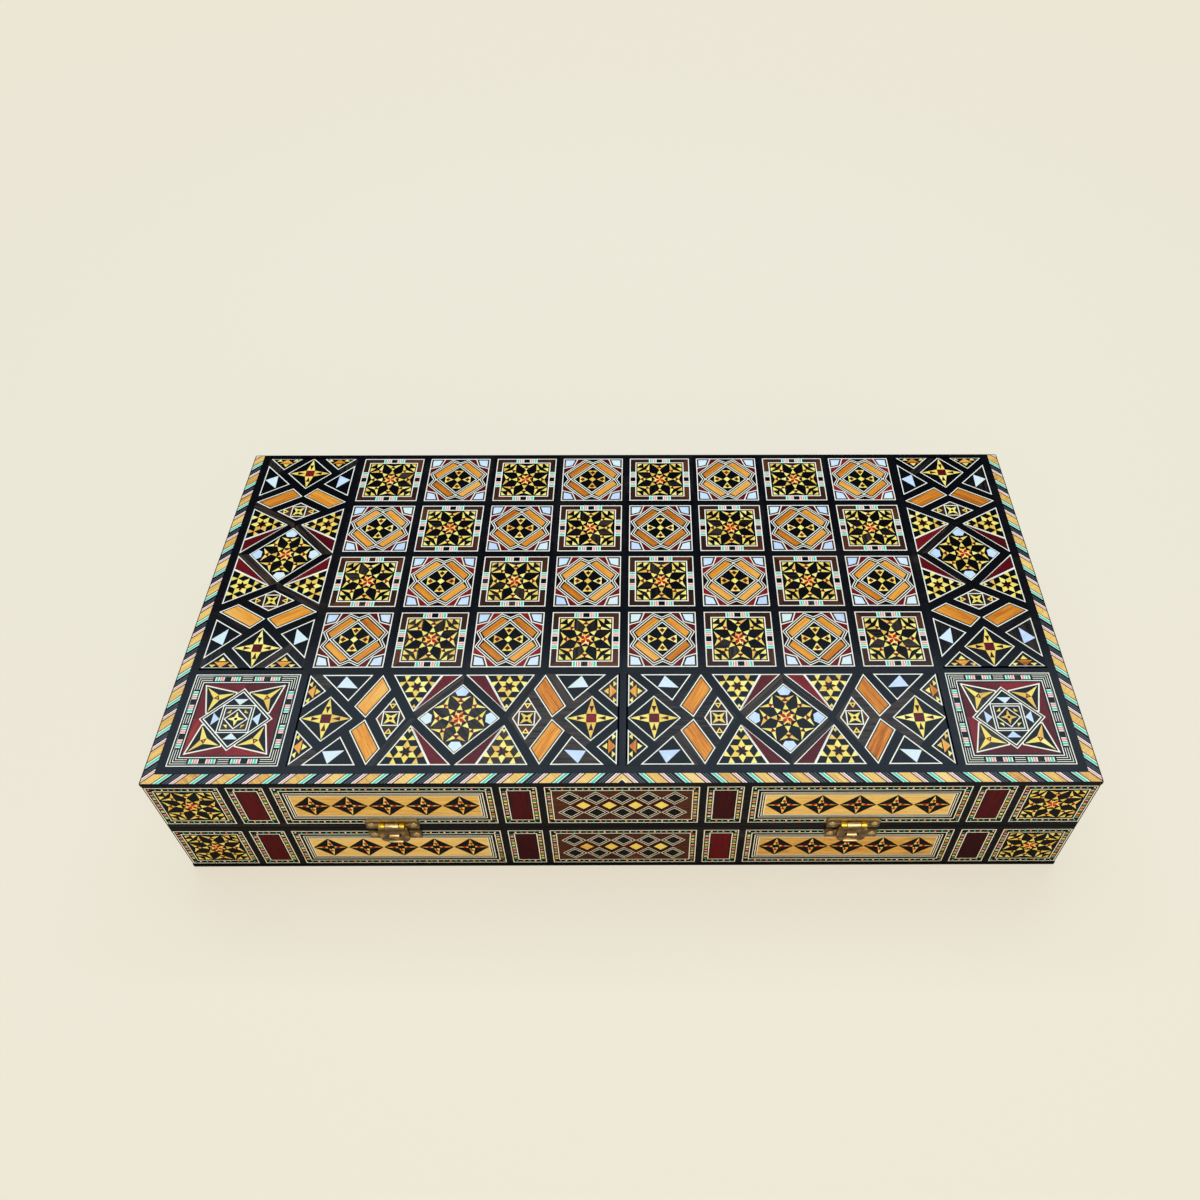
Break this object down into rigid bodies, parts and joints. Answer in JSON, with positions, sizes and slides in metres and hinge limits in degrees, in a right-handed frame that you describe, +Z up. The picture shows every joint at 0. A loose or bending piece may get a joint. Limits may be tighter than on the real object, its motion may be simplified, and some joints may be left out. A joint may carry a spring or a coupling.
{
  "type": "folding chess box",
  "caption": "Folding chess and backgammon box: two shallow mosaic-inlaid wooden trays on a long back hinge, closed at the front by flip-up brass catches.",
  "frame": {"origin": "centre of the flat bottom face of the closed box, on the surface it stands on", "axes": "+X along the hinge to the right as seen from the latches, +Y from the latches to the hinges, +Z up"},
  "size_m": [0.5, 0.2562, 0.093],
  "materials": {
    "ebony": "black-stained hardwood under gloss lacquer, dark brown where the stain is thin",
    "core_board": "plain board, sealed between the mosaic and the playing field",
    "star_mosaic": "glossy mosaic squares with an eight-pointed star in a brown and cream frame",
    "diamond_mosaic": "glossy mosaic squares with an interlaced octagon, pearl corners and a dark centre diamond",
    "border_mosaic": "glossy mosaic border panels with diamonds, triangles and a star medallion",
    "corner_mosaic": "glossy mosaic corner panels of nested squares on dark red wood",
    "rope_mosaic": "slanting stripes of pale wood, black, turquoise, pink and cream",
    "wall_mosaic": "glossy mosaic panels in the walls, framed by small coloured blocks",
    "walnut": "brown hardwood, satin lacquer",
    "light_inlay": "pale inlaid wood",
    "dark_inlay": "dark red inlaid wood",
    "rosette_mosaic": "round star mosaic",
    "brass": "polished brass with a slightly aged, darkened tone"
  },
  "bodies": {
    "base": {"base_board": "core_board", "base_front_rail": "ebony", "base_back_rail": "ebony", "base_left_rail": "ebony", "base_right_rail": "ebony", "base_lattice": "ebony", "base_star_squares": "star_mosaic", "base_diamond_squares": "diamond_mosaic", "base_border_panels": "border_mosaic", "base_end_panels": "border_mosaic", "base_corner_panels": "corner_mosaic", "base_rope_banding": "rope_mosaic", "base_wall_star_panels": "wall_mosaic", "base_wall_red_panels": "wall_mosaic", "base_wall_diamond_panels": "wall_mosaic", "base_wall_centre_panel": "wall_mosaic", "base_playing_field": "walnut", "base_light_points": "light_inlay", "base_dark_points": "dark_inlay", "base_rosette": "rosette_mosaic", "left_hinge_base_leaf": "brass", "right_hinge_base_leaf": "brass", "left_hinge_pin": "brass", "right_hinge_pin": "brass", "base_hinge_screws": "brass", "left_catch_plate": "brass", "right_catch_plate": "brass", "catch_screws": "brass"},
    "lid": {"lid_board": "core_board", "lid_front_rail": "ebony", "lid_back_rail": "ebony", "lid_left_rail": "ebony", "lid_right_rail": "ebony", "lid_lattice": "ebony", "lid_star_squares": "star_mosaic", "lid_diamond_squares": "diamond_mosaic", "lid_border_panels": "border_mosaic", "lid_end_panels": "border_mosaic", "lid_corner_panels": "corner_mosaic", "lid_rope_banding": "rope_mosaic", "lid_wall_star_panels": "wall_mosaic", "lid_wall_red_panels": "wall_mosaic", "lid_wall_diamond_panels": "wall_mosaic", "lid_wall_centre_panel": "wall_mosaic", "lid_playing_field": "walnut", "lid_light_points": "light_inlay", "lid_dark_points": "dark_inlay", "lid_rosette": "rosette_mosaic", "left_hinge_lid_leaf": "brass", "right_hinge_lid_leaf": "brass", "lid_hinge_screws": "brass", "left_latch_plate": "brass", "right_latch_plate": "brass", "left_latch_pin": "brass", "right_latch_pin": "brass", "latch_screws": "brass"},
    "left_tongue": {"left_latch_tongue": "brass"},
    "right_tongue": {"right_latch_tongue": "brass"}
  },
  "joints": [
    {"name": "lid_hinge", "type": "hinge", "parent": "base", "child": "lid", "pos_m": [0, 0.125, 0.0465], "axis": [-1, 0, 0], "range_deg": [0, 180]},
    {"name": "left_tongue_hinge", "type": "hinge", "parent": "lid", "child": "left_tongue", "pos_m": [-0.1256, -0.1268, 0.0523], "axis": [-1, 0, 0], "range_deg": [0, 170]},
    {"name": "right_tongue_hinge", "type": "hinge", "parent": "lid", "child": "right_tongue", "pos_m": [0.1256, -0.1268, 0.0523], "axis": [-1, 0, 0], "range_deg": [0, 170]}
  ]
}
